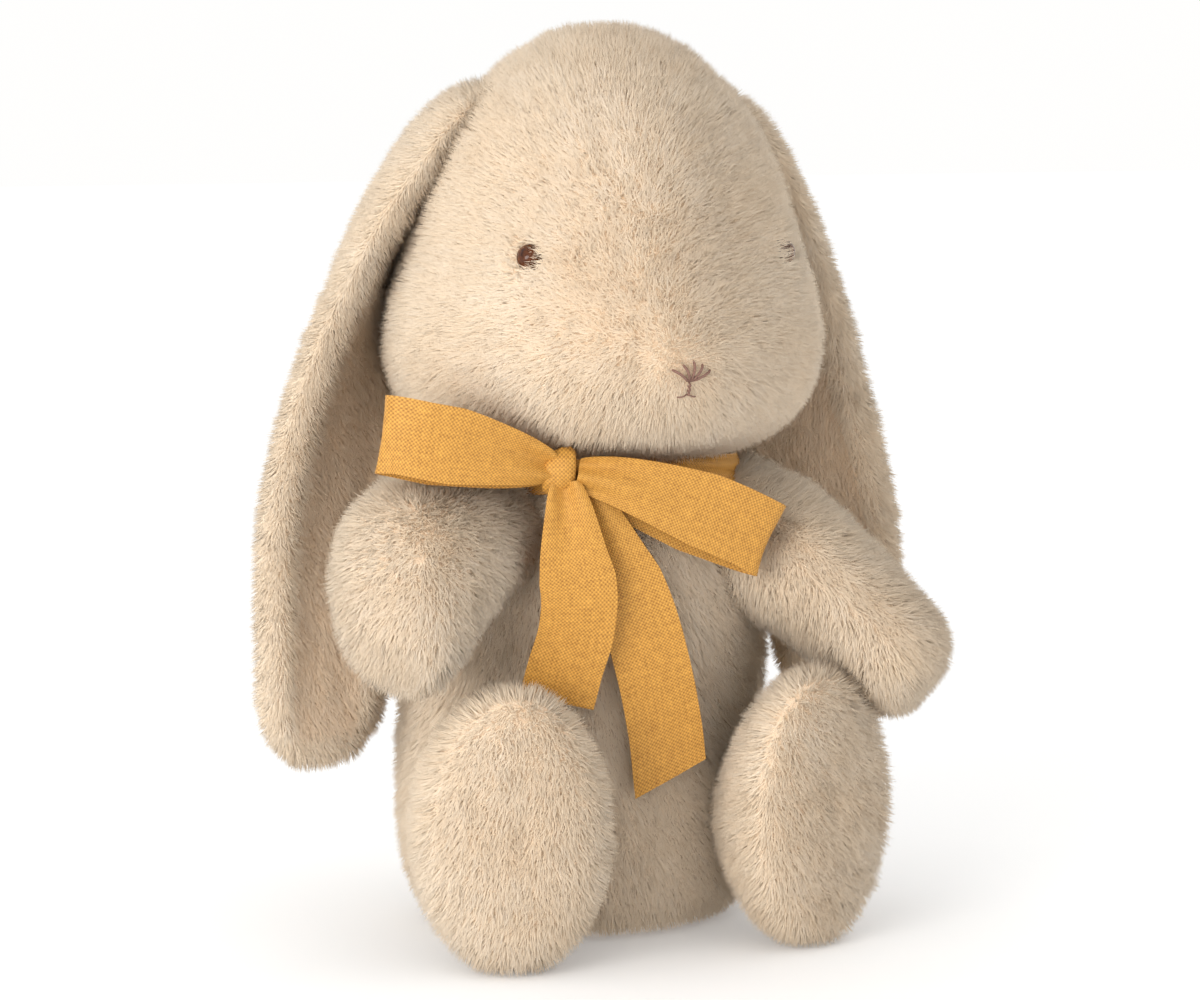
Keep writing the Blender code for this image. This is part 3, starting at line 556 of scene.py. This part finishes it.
# ---- arms: full mitts that start high under the ribbon
ARM_ROOT = {"right": (-41.0, -12.0, 125.0), "left": (40.0, -12.0, 121.5)}
ARM_BOW = {"right": (-6.0, -2.0, 10.0), "left": (0.0, 0.0, 3.0)}
ARM_END = {"right": (-81.5, -46.0, 90.0), "left": (84.0, -50.0, 76.0)}
ARM_SHAPE = {"right": [(0.10, 19.5, 19.0), (0.28, 22.5, 18.8), (0.48, 23.2, 18.8), (0.68, 21.8, 18.0), (0.84, 18.8, 16.0), (0.94, 14.2, 12.2), (0.985, 8.6, 7.4), (1.0, 3.5, 2.8)],
             "left": [(0.10, 21.5, 20.5), (0.28, 24.0, 19.8), (0.48, 23.2, 17.6), (0.70, 21.8, 16.4), (0.86, 20.4, 15.6), (0.95, 15.6, 12.2), (0.985, 9.4, 7.4), (1.0, 3.5, 2.8)]}
for s, m in (("right", -1), ("left", 1)):
    root, tip = np.array(ARM_ROOT[s]), np.array(ARM_END[s])
    axis = unit(tip - root)
    wide = np.array(ARM_WIDE[s])
    u = unit(wide - axis * (wide @ axis))
    v = np.cross(axis, u)
    grid, rows = limb(root, 19.0, axis, u, v, tip, ARM_SHAPE[s], 1.0, ARM_BOW[s])
    # the panels' seam runs round the edge, and the mitt is soft and a little uneven
    arm = Skin(grid)
    dent = lattice(arm.verts, 22.0, 71) * 0.9
    edge = np.abs((arm.normals * v).sum(-1))
    arm.verts = arm.verts + arm.normals * (dent - 0.5 * np.exp(-(edge / 0.10) ** 2))[:, None]
    arm = Skin(arm.verts[:-2].reshape(grid.shape))
    skin = link(f"arm_{s}_fur_backing", arm.mesh(f"arm_{s}_fur_backing"), [SKIN], f"arm_{s}", (f"arm_{s}_outer", f"arm_{s}_inner"))
    # its filling keeps the same form, a cloth's thickness inside
    inner = Skin(arm.grid - arm.normals[:-2].reshape(grid.shape) * 2.4)
    filling = link(f"arm_{s}_filling", inner.mesh(f"arm_{s}_filling"), [FILL], f"arm_{s}", (f"arm_{s}_stuffing",))
    p, n = arm.scatter(4.0 * DENS, rng)
    fur(f"arm_{s}_fur", f"arm_{s}", p, n, axis * 0.8 + np.array((0, 0, -0.5)) + np.zeros_like(p), rng, length=5.4, lean=0.62)

# ---- legs and soles
for s, m in (("right", -1), ("left", 1)):
    root = np.array((HIP[0] * m, HIP[1], HIP[2]))
    foot = np.array((FOOT[0] * m, FOOT[1], FOOT[2]))
    normal = np.array((m * math.sin(TOE_OUT), -math.cos(TOE_OUT), 0.0))
    u = np.array((math.cos(TOE_OUT), m * math.sin(TOE_OUT), 0.0))
    v = np.cross(normal, u)
    grid, rows = limb(root, HIP_R, normal, u, v * 1.028, foot, LEG_PROFILE, 1.6)
    # the leg's backing; the sole's seam is left without pile below
    leg = Skin(grid)
    skin = link(f"leg_{s}_fur_backing", leg.mesh(f"leg_{s}_fur_backing"), [SKIN], f"leg_{s}",
                (f"leg_{s}_outer", f"leg_{s}_inner", f"foot_sole_{s}"))

    def on_sole(q, foot=foot, normal=normal, u=u):
        r = q - foot
        return ((r @ u) / 23.5) ** 2 + (r[:, 2] / 36.5) ** 2

    p, n = leg.scatter(3.9 * DENS, rng)
    edge = on_sole(p)
    front = (p - foot) @ normal > -2.6
    sole = front & (edge < 1.0)
    seam_gap = front & (edge > 0.985) & (edge < 1.015)
    floor = lambda q: np.clip((q[:, 2] + 2.5) / 7.0, 0.30, 1.0)
    side = ~sole & ~seam_gap
    fur(f"leg_{s}_fur", f"leg_{s}", p[side], n[side], -normal * 0.5 + np.array((0, 0, -0.7)) + np.zeros_like(p[side]), rng, length=5.4, lean=0.60, trim=floor)
    fur(f"sole_{s}_fur", f"leg_{s}", p[sole], n[sole], np.array((-0.25, 0, -0.8)) + np.zeros_like(p[sole]), rng, length=5.0, lean=0.60, trim=floor)

# ---- ears: a fur back whose rim rolls round a channel of longer lining
for s, m in (("right", -1), ("left", 1)):
    rows = even(smooth(EAR_SPINE, 6), 110)
    centres = rows[:, :3] * (m, 1, 1)
    along = unit(np.gradient(centres, axis=0))
    yaw = np.radians(rows[:, 5])
    wide = np.stack([m * np.cos(yaw), -np.sin(yaw), 0 * yaw], axis=1)
    u = unit(wide - along * (along * wide).sum(axis=1, keepdims=True))
    v = np.cross(along, u)
    v = v * np.sign(v[len(v) // 2][1])      # towards the back
    t = np.linspace(0, 2 * math.pi, 72, endpoint=False)
    across, depth = np.cos(t), np.sin(t)
    share = np.linspace(0, 1, len(rows))
    open_ = np.clip((share - 0.10) / 0.10, 0, 1) * np.clip((0.985 - share) / 0.10, 0, 1)
    hollow = np.exp(-(across / 0.62) ** 4) * (depth < 0)
    rim = 1 + 0.25 * np.exp(-((np.abs(across) - 0.82) / 0.16) ** 2) * (depth < 0)
    h = depth * rim * (1 - 0.62 * hollow * open_[:, None])
    h = np.where(depth < 0, h, h * (1 + 0.12 * np.cos(across * math.pi / 2)))
    grid = centres[:, None] + u[:, None] * (across * rows[:, 3:4])[..., None] + v[:, None] * (h * rows[:, 4:5])[..., None]
    ear = Skin(grid)
    mesh = ear.mesh(f"ear_{s}_fur_backing")
    skin = link(f"ear_{s}_fur_backing", mesh, [SKIN, LINING_SKIN], f"ear_{s}", (f"ear_{s}_back", f"ear_{s}_lining"))
    # which points lie in the channel
    spine = centres

    def local(q):
        i = np.argmin(((q[:, None, ::1] - spine[None, ::2]) ** 2).sum(-1), axis=1) * 2
        r = q - spine[i]
        return (r * u[i]).sum(-1) / np.maximum(rows[i, 3], 1), (r * v[i]).sum(-1), share[i], along[i], v[i]

    mids = ear.verts[ear.quads].mean(axis=1)
    a_, b_, s_, _, bk = local(mids)
    inner = (np.abs(a_) < 0.60) & (b_ < 1.2) & (s_ > 0.05) & (s_ < 0.955)
    facing = (ear.normals[ear.quads].mean(axis=1) * bk).sum(-1) < 0
    index = np.zeros(len(mesh.polygons), np.int32)
    index[:len(mids)] = inner & facing
    mesh.polygons.foreach_set("material_index", index)
    p, n = ear.scatter(3.8 * DENS, rng)
    a_, b_, s_, al, bk = local(p)
    inner = (np.abs(a_) < 0.60) & (b_ < 1.2) & (s_ > 0.05) & (s_ < 0.955) & ((n * bk).sum(-1) < 0.1)
    fur(f"ear_{s}_fur", f"ear_{s}", p[~inner], n[~inner], al[~inner] * 0.9, rng, length=5.0, lean=0.65)
    q, qn = ear.scatter(5.0 * DENS, rng)
    qa, qb, qs, qal, _ = local(q)
    rim_ = np.abs(qa) > 0.84
    fur(f"ear_{s}_rim_fur", f"ear_{s}", q[rim_], qn[rim_], qal[rim_] * 0.9, rng, length=4.6, lean=0.65)
    # the lining pile's peach is partly painted light: lighter than the fabric, to stand in for light reaching into the
    # channel
    fur(f"ear_{s}_lining_fur", f"ear_{s}", p[inner], n[inner], al[inner], rng, length=5.0, lean=0.90, family="peach", clump=0.55)

# ---- tail
t = np.linspace(0, 2 * math.pi, 48, endpoint=False)
phi = np.radians(np.linspace(-86, 86, 30))
grid = np.stack([13.2 * np.cos(phi)[:, None] * np.cos(t), 66.0 + 13.2 * np.cos(phi)[:, None] * np.sin(t), 36.0 + 13.2 * np.sin(phi)[:, None] * np.ones_like(t)], -1)
tail = Skin(grid)
skin = link("tail_fur_backing", tail.mesh("tail_fur_backing"), [SKIN], "torso", ("tail",))
p, n = tail.scatter(4.2 * DENS, rng, lambda q: q[:, 1] > 55)
fur("tail_fur", "torso", p, n, np.repeat([[0, 0, -0.6]], len(p), 0), rng, length=8.0, lean=0.35, clump=0.8)


# ------------------------------------------------------------------ ribbon
def ribbon_piece(name, path, width_dir, widths, body, replaces, flat, wrinkle=None, cut=0.0, cols=19, thick=0.34):
    """A strip of ribbon with real thickness. The path is its centre line; cut slants its last end."""
    path = np.asarray(path, float)
    along = unit(np.gradient(path, axis=0))
    wd = np.asarray(width_dir, float)
    wd = wd if wd.ndim == 2 else np.repeat(wd[None], len(path), 0)
    wd = unit(wd - along * (wd * along).sum(-1, keepdims=True))
    nn = np.cross(along, wd)
    c = np.linspace(-0.5, 0.5, cols)
    run = np.concatenate([[0], np.cumsum(np.linalg.norm(np.diff(path, axis=0), axis=1))])
    grid = path[:, None] + wd[:, None] * (c[None] * widths[:, None])[..., None]
    if cut:
        reach = np.clip((run - run[-1] * 0.55) / (run[-1] * 0.45), 0, 1) ** 1.0
        grid = grid + along[:, None] * (c[None] * cut * reach[:, None])[..., None]
    if wrinkle is not None:
        grid = grid + nn[:, None] * wrinkle(run / run[-1], c)[..., None]
    du, dv = np.gradient(grid, axis=0), np.gradient(grid, axis=1)
    nrm = unit(np.cross(du, dv))
    top, low = grid + nrm * thick / 2, grid - nrm * thick / 2
    m, k = grid.shape[:2]
    verts = np.vstack([top.reshape(-1, 3), low.reshape(-1, 3)])
    o = m * k
    faces, uvs = [], []
    uv = np.stack([np.repeat(run[:, None], k, 1) / 100, np.repeat(c[None] * flat[0] * 1000 / 100, m, 0)], -1).reshape(-1, 2)
    uv = np.vstack([uv, uv])
    for i in range(m - 1):
        for j in range(k - 1):
            a, b, d, e = i * k + j, i * k + j + 1, (i + 1) * k + j + 1, (i + 1) * k + j
            faces.append((a, e, d, b))
            faces.append((o + a, o + b, o + d, o + e))
    for i in range(m - 1):
        a, e = i * k, (i + 1) * k
        faces.append((a, o + a, o + e, e))
        a, e = i * k + k - 1, (i + 1) * k + k - 1
        faces.append((a, e, o + e, o + a))
    for j in range(k - 1):
        faces.append((j, j + 1, o + j + 1, o + j))
        a = (m - 1) * k + j
        faces.append((a, o + a, o + a + 1, a + 1))
    mesh = mesh_of(name, verts, np.array(faces))
    flatuv = uv[np.array(faces).reshape(-1)]
    layer = mesh.uv_layers.new(name="run")
    layer.uv.foreach_set("vector", flatuv.astype(np.float32).ravel())
    mesh.shade_smooth()
    mesh.set_sharp_from_angle(angle=math.radians(55))
    obj = link(name, mesh, [RIBBON], body, replaces)
    return obj


W = 22.0
KNOT = np.array((-31.0, -45.5, 144.0))


def gathered(n, start, full, reach, end=None):
    s = np.linspace(0, 1, n)
    w = start + (full - start) * np.clip(s / reach, 0, 1) ** 0.7
    if end is not None:
        w = np.minimum(w, end + (full - end) * np.clip((1 - s) / reach, 0, 1) ** 0.7)
    return w


def pleats(amount, turns, reach=0.35, seed=0.0):
    """Folds that run out from the knot and fade."""
    def f(s, c):
        s, c = s[:, None], c[None]
        near = np.exp(-(s / reach) ** 2) + np.exp(-((1 - s) / reach) ** 2) * 0.0
        return amount * near * np.sin(c * turns * 2 * math.pi + seed) + 0.35 * np.sin(s * 5 + c * 3 + seed)
    return f


def pleats2(amount, turns, reach=0.22, seed=0.0):
    def f(s, c):
        s, c = s[:, None], c[None]
        near = np.exp(-(s / reach) ** 2) + np.exp(-((1 - s) / reach) ** 2)
        return amount * near * np.sin(c * turns * 2 * math.pi + seed) + 0.3 * np.sin(s * 7 + c * 4 + seed)
    return f


# right loop: out in front, round at its far end, back behind
front = [(-34, -47.5, 145.0), (-46, -50.0, 148.5), (-60, -51.0, 152.0), (-72, -49.5, 154.5), (-79.0, -46.5, 156.0)]
turn = [(-82.0, -43.0, 156.2), (-81.0, -39.6, 155.4)]
back = [(-74.0, -38.2, 153.5), (-62, -38.5, 150.5), (-48, -40.5, 147.0), (-35, -43.5, 144.5)]
path = even(smooth(front + turn + back, 10), 90)
loop_right = ribbon_piece("ribbon_loop_right_cloth", path, (0.12, -0.10, 1.0), gathered(90, 8.5, W, 0.30, 8.5), "torso", ("ribbon_loop_right",),
                          (0.022, 0.108), pleats2(1.1, 1.6, 0.16, 0.6))
# left loop, lying over the other shoulder
front = [(-27, -50.0, 143.5), (-14, -53.5, 140.5), (2, -55.0, 135.0), (18, -55.0, 128.5), (29.5, -53.5, 123.0)]
turn = [(32.2, -51.2, 121.6), (31.6, -48.6, 121.6)]
back = [(27.0, -46.8, 123.0), (14, -47.0, 128.0), (-2, -47.0, 134.0), (-16, -46.5, 139.0), (-28, -45.0, 142.5)]
path = even(smooth(front + turn + back, 10), 96)
loop_left = ribbon_piece("ribbon_loop_left_cloth", path, (0.40, -0.12, 1.0), gathered(96, 8.5, W, 0.30, 8.5), "torso", ("ribbon_loop_left",),
                         (0.022, 0.128), pleats2(1.1, 1.5, 0.16, 2.1))
# tails
path = even(smooth([(-30.5, -49.0, 141.0), (-30.0, -51.0, 132.0), (-28.5, -50.5, 120.0), (-26.2, -49.0, 108.0), (-26.0, -46.0, 97.0), (-28.0, -42.5, 86.0), (-29.5, -39.5, 76.0)], 10), 70)
tail_right = ribbon_piece("ribbon_tail_right_cloth", path, (-1.0, 0.30, 0.0), gathered(70, 8.0, W, 0.42), "ribbon_tail_right", ("ribbon_tail_right",),
                          (0.022, 0.068), pleats(1.2, 1.3, 0.30, 1.2))
path = even(smooth([(-24.5, -47.5, 140.5), (-21.0, -48.0, 131.0), (-15.0, -47.5, 118.0), (-7.0, -46.0, 102.0), (-0.5, -43.0, 84.0), (4.5, -39.5, 66.0), (7.0, -38.0, 50.5)], 10), 90)
tail_left = ribbon_piece("ribbon_tail_left_cloth", path, (-1.0, 0.22, 0.0), gathered(90, 8.0, W, 0.34), "ribbon_tail_left", ("ribbon_tail_left",),
                         (0.022, 0.099), pleats(1.0, 1.2, 0.28, 0.2), cut=9.0)

# knot: a strip wrapped round the gathers
t = np.linspace(0, 2 * math.pi, 40, endpoint=False)
axis = unit(np.array((0.93, -0.37, 0.0)))
up = np.array((0, 0, 1.0))
out = np.cross(axis, up)
rows = []
for h, r in ((-4.9, 3.2), (-4.5, 4.3), (-3.2, 5.2), (-1.1, 5.6), (1.1, 5.7), (3.2, 5.3), (4.5, 4.4), (4.9, 3.2)):
    crease = 1 + 0.045 * np.sin(t * 4 + h * 0.9) + 0.03 * np.sin(t * 9 - h)
    rows.append(KNOT + axis * h + (up * (r * 1.12 * np.cos(t) * crease)[:, None] + out * (r * 0.82 * np.sin(t) * crease)[:, None]) + up * 0.25 * h)
knot = Skin(np.array(rows))
mesh = knot.mesh("ribbon_knot_cloth")
layer = mesh.uv_layers.new(name="run")
loops = np.empty(len(mesh.loops), np.int32)
mesh.loops.foreach_get("vertex_index", loops)
kv = knot.verts[loops] - KNOT
layer.uv.foreach_set("vector", np.stack([kv @ up / 100, kv @ axis / 100], -1).astype(np.float32).ravel())
knot_obj = link("ribbon_knot_cloth", mesh, [RIBBON], "torso", ("ribbon_knot",))

# neck band: gathered ribbon round the neck
t = np.linspace(0, 2 * math.pi, 161)
r = 43.6 + 0.5 * np.sin(t * 7)
path = np.stack([r * np.cos(t), NECK_Y + r * np.sin(t), 138.5 + 0.8 * np.sin(t * 3) - 2.2 * np.sin(t)], -1)
wave = lambda s, c: 0.5 * np.sin(c[None] * 11 + 6 * np.sin(s[:, None] * 9))
band = ribbon_piece("ribbon_neck_band_cloth", path, (0, 0, 1.0), np.full(161, 9.5), "torso", ("ribbon_neck_band",), (0.0135, 0.275), wave)

# ------------------------------------------------------------------ face
def tube(name, points, radius, mat, body, replaces=(), sides=8, slot=None):
    rows = even(smooth(points, 6), max(10, len(points) * 7))
    along = unit(np.gradient(rows, axis=0))
    ref = unit(np.cross(along, (0.3, -1, 0.2)))
    other = np.cross(along, ref)
    t = np.linspace(0, 2 * math.pi, sides, endpoint=False)
    swell = 1 - 0.35 * np.abs(np.linspace(-1, 1, len(rows))) ** 6
    grid = rows[:, None] + radius * swell[:, None, None] * (np.cos(t)[None, :, None] * ref[:, None] + np.sin(t)[None, :, None] * other[:, None])
    return Skin(grid)


def face_point(x, z, out):
    r = float(head_r(z))
    slope = (float(head_r(z + 1)) - float(head_r(z - 1))) / 2
    y = -math.sqrt(r * r - x * x)
    n_ = unit(np.array((x / r, y / r, -slope)))
    at = np.array((x, HEAD_Y + y, z))
    full = 1.9 * math.exp(-(x / 17.0) ** 2) * min(1.0, (z - 150) / 20) + 1.2 * math.exp(-(x / 24.0) ** 2 - ((z - 172) / 18.0) ** 2)
    return at + unit(at - (0, HEAD_Y, 200.0)) * full + n_ * out


def stitch(x0, z0, x1, z1, lift=3.4, sink=0.4, bow=0.5, n_=7):
    pts = []
    for k in np.linspace(0, 1, n_):
        h = sink + (lift - sink) * math.sin(math.pi * min(max(k, 0.03), 0.97)) ** 0.45
        pts.append(face_point(x0 + (x1 - x0) * k, z0 + (z1 - z0) * k + bow * math.sin(math.pi * k), h))
    return pts


def joined(name, skins, mat, body, replaces):
    verts, faces, o = [], [], 0
    for sk in skins:
        verts.append(sk.verts)
        faces += (sk.quads + o).tolist() + (sk.caps + o).tolist()
        o += len(sk.verts)
    mesh = mesh_of(name, np.vstack(verts), faces)
    mesh.shade_smooth()
    return link(name, mesh, [mat], body, replaces)


NZ = 172.6
stitches = []
for x0, x, z in ((-0.9, -5.0, 2.4), (-0.4, -2.0, 3.6), (0.1, 0.9, 4.6), (0.5, 3.6, 3.6), (1.0, 6.0, 1.9)):
    stitches.append(tube("s", stitch(x0 * 0.5, NZ - 0.9 + abs(x0) * 0.3, x, NZ + z, bow=0.35), 0.40, THREAD, "head"))
joined("nose_embroidery_thread", stitches, THREAD, "head", ("nose_embroidery",))
mouth = []
for k in range(3):
    mouth.append(tube("m", stitch(-0.1, NZ - 1.0 - k * 1.15, -0.25, NZ - 2.0 - k * 1.15, lift=2.9, bow=0.0), 0.30, THREAD, "head"))
mouth.append(tube("m", stitch(-0.3, NZ - 4.4, -2.8, NZ - 5.2, lift=2.3, bow=0.2), 0.22, THREAD, "head"))
mouth.append(tube("m", stitch(-0.3, NZ - 4.4, 2.6, NZ - 5.2, lift=2.3, bow=0.2), 0.22, THREAD, "head"))
joined("mouth_embroidery_thread", mouth, THREAD, "head", ("mouth_embroidery",))

for name, obj in NODES.items():
    if "washer" in name:
        mat = WASHER
    elif name.startswith("eye_"):
        mat = EYE
    elif "stuffing" in name:
        mat = FILL
    elif name == "pellet_bag":
        mat = PELLET
    elif name.startswith("ribbon"):
        mat = RIBBON
    else:
        mat = SKIN
    for slot_ in obj.material_slots:
        slot_.material = mat

# ------------------------------------------------------------------ stage, light, camera
mesh = bpy.data.meshes.new("floor")
mesh.from_pydata([(-4, -3, 0), (4, -3, 0), (4, 6, 0), (-4, 6, 0)], [], [(0, 1, 2, 3)])
floor_obj = bpy.data.objects.new("floor", mesh)
bpy.context.scene.collection.objects.link(floor_obj)
mat, nt, pr = new_material("pale_floor", (0.86, 0.86, 0.86), 0.95)
pr.inputs["Specular IOR Level"].default_value = 0.0
pr.inputs["Emission Color"].default_value = (1, 1, 1, 1)
pr.inputs["Emission Strength"].default_value = 0.17
mesh.materials.append(mat)

scene = bpy.context.scene
w = bpy.data.worlds.new("studio")
scene.world = w
w.use_nodes = True
w.node_tree.nodes["Background"].inputs["Color"].default_value = (1.0, 0.995, 0.985, 1)
w.node_tree.nodes["Background"].inputs["Strength"].default_value = 1.0


def area(name, at, aim, size, power, colour=(1, 1, 1)):
    light = bpy.data.lights.new(name, "AREA")
    light.shape = "DISK"
    light.size = size
    light.energy = power
    light.color = colour
    obj = bpy.data.objects.new(name, light)
    scene.collection.objects.link(obj)
    from mathutils import Vector
    obj.location = at
    obj.rotation_euler = (Vector(aim) - Vector(at)).to_track_quat("-Z", "Y").to_euler()
    return obj


area("key", (-1.42, -1.12, 0.52), (0, 0, 0.14), 1.1, 21.0, (1.0, 0.98, 0.95))

from mathutils import Vector
AZ, EL, DIST = math.radians(-22.0), math.radians(7.0), 1.10
aim = Vector(world((0.0, 0.0, 129.0)))
back = Vector((math.sin(AZ) * math.cos(EL), -math.cos(AZ) * math.cos(EL), math.sin(EL)))
cam = bpy.data.cameras.new("camera")
cam.sensor_width = 36.0
cam.lens = 110.0
cam.clip_start = 0.05
cam_obj = bpy.data.objects.new("camera", cam)
scene.collection.objects.link(cam_obj)
cam_obj.location = aim + back * DIST
cam_obj.rotation_euler = (-back).to_track_quat("-Z", "Y").to_euler()
scene.camera = cam_obj
scene.view_settings.view_transform = "Standard"

print("strands", TOTAL["strands"])
